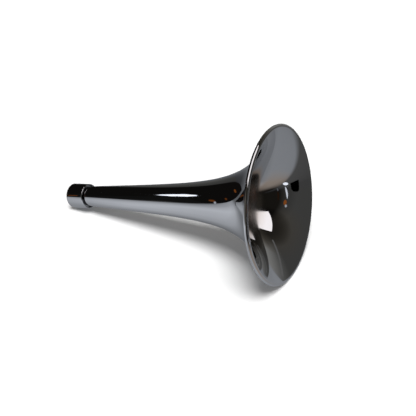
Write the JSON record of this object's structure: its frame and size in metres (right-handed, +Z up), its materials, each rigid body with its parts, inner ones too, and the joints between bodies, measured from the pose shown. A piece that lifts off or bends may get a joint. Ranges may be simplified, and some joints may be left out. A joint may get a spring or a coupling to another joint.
{
  "type": "horn loudspeaker",
  "caption": "Chromed sheet-metal horn with a rolled rim, and a screw-on collar at the throat that houses a compact moving-coil driver.",
  "frame": {"origin": "on the surface the horn lies on, under the middle of its bounding box", "axes": "+X from the collar towards the mouth, with the horn's axis tilted up 13.26 degrees from it in the XZ plane; +Z up"},
  "size_m": [0.3018, 0.1644, 0.1601],
  "materials": {
    "chrome": "polished",
    "steel_wire": "satin",
    "brass": "satin",
    "solder_tin": "satin",
    "soft_iron": "satin",
    "magnet_alloy": "matte",
    "spring_steel": "satin",
    "aluminium": "satin",
    "gasket_rubber": "matte",
    "moulded_phenolic": "satin",
    "pressed_fibre": "matte",
    "treated_cloth": "matte",
    "former_paper": "matte",
    "enamelled_copper": "satin",
    "wire_sleeve": "matte"
  },
  "bodies": {
    "horn": {"horn_flare": "chrome", "rim_wire": "steel_wire", "throat_nipple": "chrome"},
    "gasket": {"throat_gasket": "gasket_rubber"},
    "driver": {"driver_housing": "chrome", "phase_plug": "aluminium", "front_clamp_ring": "aluminium", "diaphragm_surround": "treated_cloth", "diaphragm_seat_ring": "pressed_fibre", "front_pole_plate": "soft_iron", "pole_piece": "soft_iron", "magnet": "magnet_alloy", "yoke_cup": "soft_iron", "rear_spacer": "pressed_fibre", "terminal_plate": "moulded_phenolic", "terminal_screw_1": "brass", "terminal_screw_2": "brass", "terminal_nut_1": "brass", "terminal_nut_2": "brass", "solder_lug_1": "solder_tin", "solder_lug_2": "solder_tin", "feed_wire_1": "wire_sleeve", "feed_wire_2": "wire_sleeve", "coil_lead_1": "enamelled_copper", "coil_lead_2": "enamelled_copper", "retaining_ring": "spring_steel"},
    "diaphragm": {"diaphragm_dome": "aluminium", "voice_coil_former": "former_paper", "voice_coil_winding": "enamelled_copper"}
  },
  "joints": [
    {"name": "driver_draw", "type": "slide", "parent": "horn", "child": "gasket", "axis": [-0.9734, 0, -0.2293], "range_m": [0, 0.0045]},
    {"name": "driver_turn", "type": "hinge", "parent": "gasket", "child": "driver", "pos_m": [-0.14757, 0, 0.01459], "axis": [-0.9734, 0, -0.2293], "range_deg": [0, 1080]},
    {"name": "diaphragm_travel", "type": "slide", "parent": "driver", "child": "diaphragm", "axis": [0.9734, 0, 0.2293], "range_m": [-0.0003, 0.0003], "stiffness_N_per_m": 150, "deforming": ["diaphragm_surround", "coil_lead_1", "coil_lead_2"]}
  ],
  "couplings": [
    {"joint": "driver_draw", "follows": "driver_turn", "m_per_rad": 0.00023873}
  ]
}
